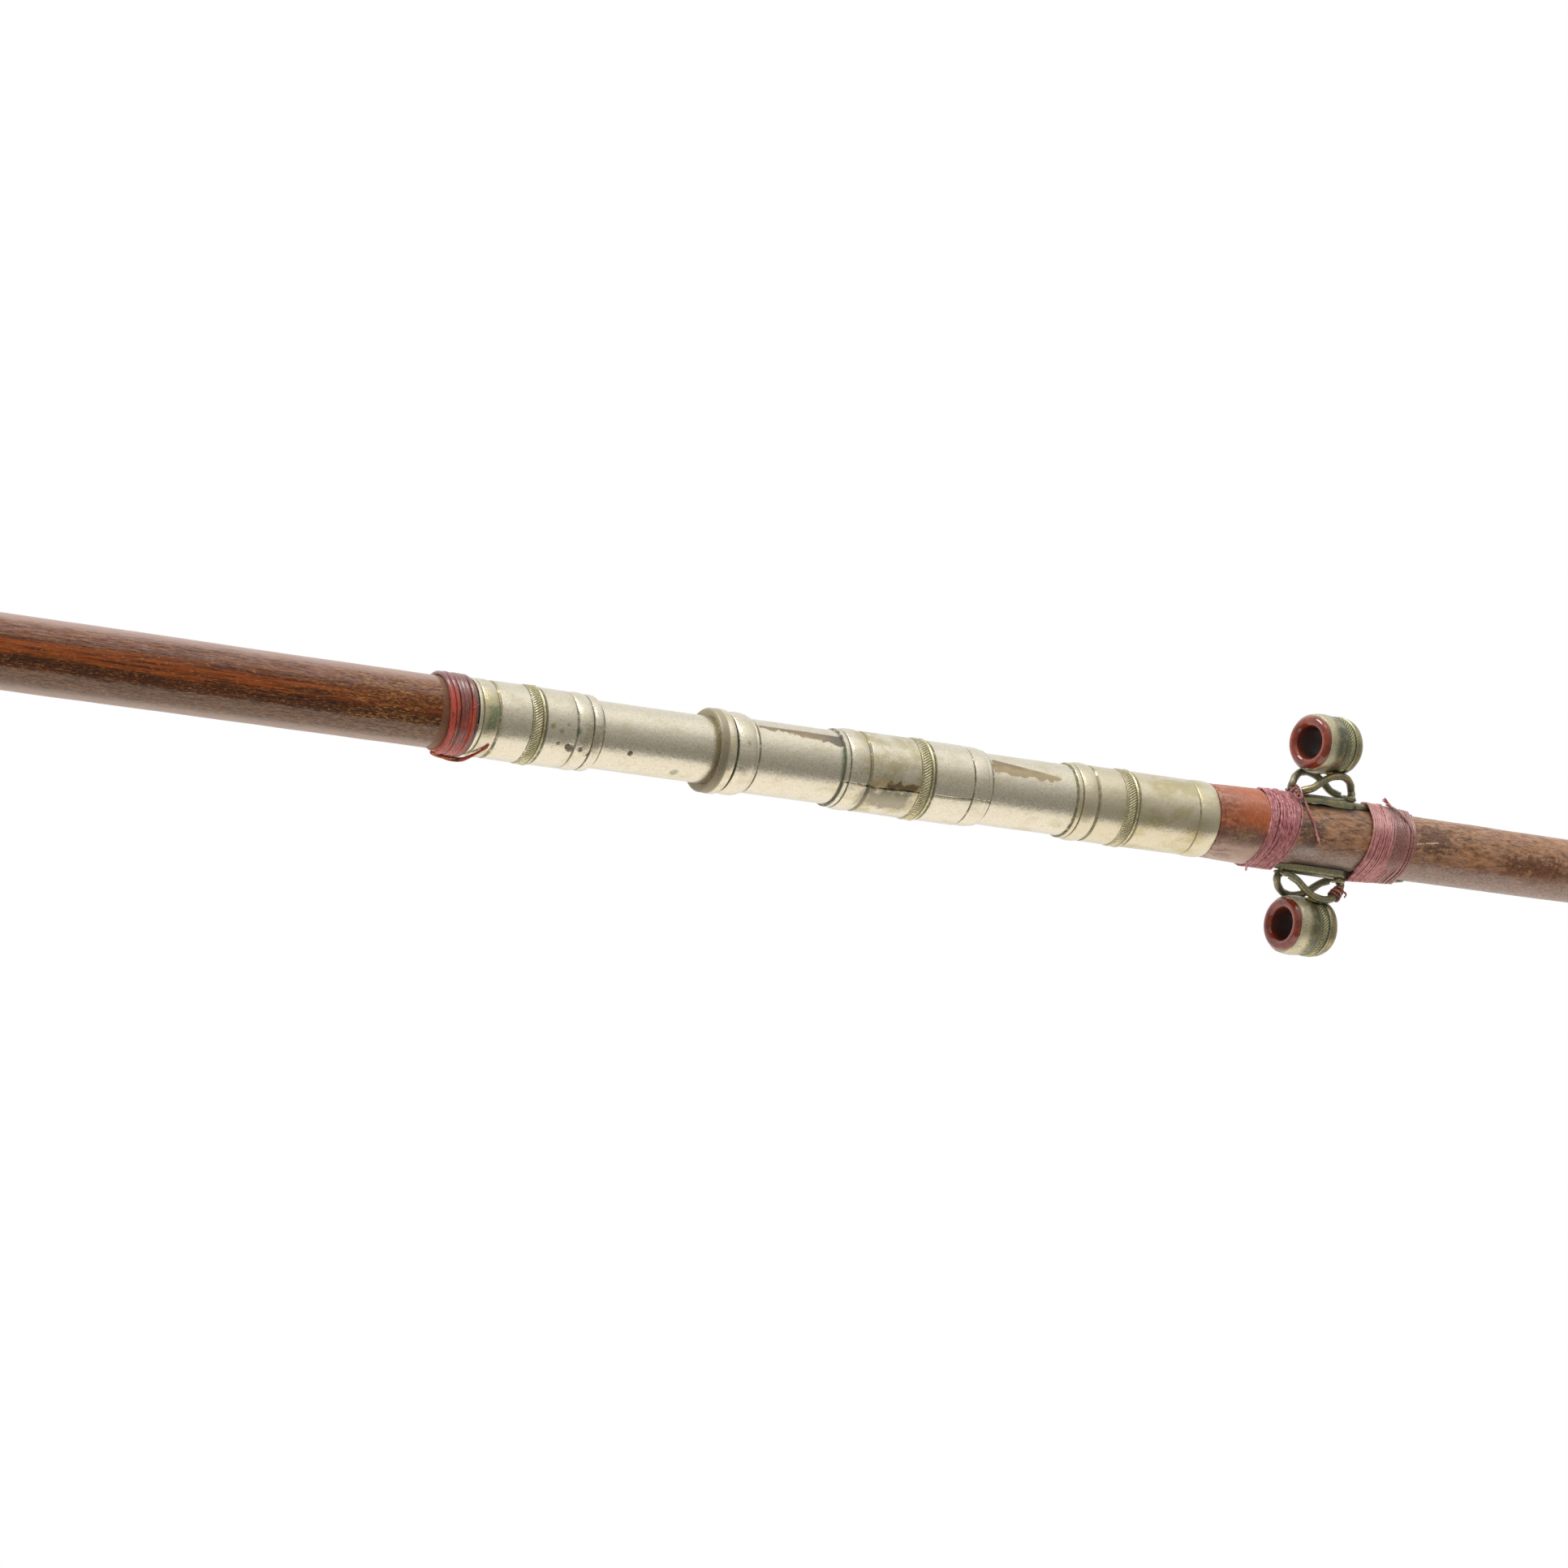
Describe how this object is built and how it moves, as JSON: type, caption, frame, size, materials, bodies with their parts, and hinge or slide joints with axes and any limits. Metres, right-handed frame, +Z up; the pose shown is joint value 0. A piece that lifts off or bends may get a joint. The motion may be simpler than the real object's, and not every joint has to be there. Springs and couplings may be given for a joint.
{
  "type": "fishing rod ferrule joint",
  "caption": "Ferruled joint of an old whole-cane fishing rod: slide tube in a sleeved socket, thread whippings and opposite agate-lined line guides.",
  "frame": {"origin": "centre of the butt-end saw cut", "axes": "+X along the rod towards its tip, +Z up through the upper line guide, -Y the side seen in the picture"},
  "size_m": [0.54, 0.02, 0.0586],
  "materials": {
    "butt_cane": "varnished cane, worn",
    "tip_cane": "cane with flaking varnish",
    "hardwood": "bare turned hardwood",
    "nickel_silver": "worn nickel silver, tarnished",
    "milled_silver": "milled nickel silver, yellowed",
    "pin_metal": "dark oxidised pin",
    "guide_bronze": "bronze with green patina",
    "agate": "polished red agate",
    "red_thread": "varnished thread",
    "pink_thread": "silk thread, bare",
    "tail_thread": "fine varnished thread"
  },
  "bodies": {
    "butt_section": {"butt_cane": "butt_cane", "butt_cane_dowel": "hardwood", "butt_whipping": "red_thread", "butt_sleeve": "nickel_silver", "butt_sleeve_milled_ring": "milled_silver", "male_slide_tube": "nickel_silver", "male_end_plug": "hardwood", "butt_sleeve_pin": "pin_metal", "slide_tube_pin": "pin_metal"},
    "water_stop": {"socket_water_stop": "nickel_silver"},
    "tip_section": {"female_socket_tube": "nickel_silver", "mouth_collar": "nickel_silver", "mouth_welt": "nickel_silver", "middle_sleeve": "nickel_silver", "middle_sleeve_milled_ring": "milled_silver", "rear_tube": "nickel_silver", "rear_sleeve": "nickel_silver", "rear_sleeve_milled_ring": "milled_silver", "tip_cane": "tip_cane", "tip_cane_dowel": "hardwood", "tail_winding": "tail_thread", "guide_whipping_butt_side": "pink_thread", "guide_whipping_tip_side": "pink_thread", "lower_guide_thread_tie": "red_thread", "upper_guide_foot": "guide_bronze", "upper_guide_bridge": "guide_bronze", "upper_guide_bell": "guide_bronze", "upper_guide_milled_ring": "guide_bronze", "upper_guide_agate_bush": "agate", "lower_guide_foot": "guide_bronze", "lower_guide_bridge": "guide_bronze", "lower_guide_bell": "guide_bronze", "lower_guide_milled_ring": "guide_bronze", "lower_guide_agate_bush": "agate"}
  },
  "joints": [
    {"name": "ferrule_slide", "type": "slide", "parent": "butt_section", "child": "water_stop", "axis": [1, 0, 0], "range_m": [-0.03, 0.03]},
    {"name": "ferrule_turn", "type": "hinge", "parent": "water_stop", "child": "tip_section", "pos_m": [0.3, 0, 0], "axis": [1, 0, 0], "continuous": true}
  ]
}
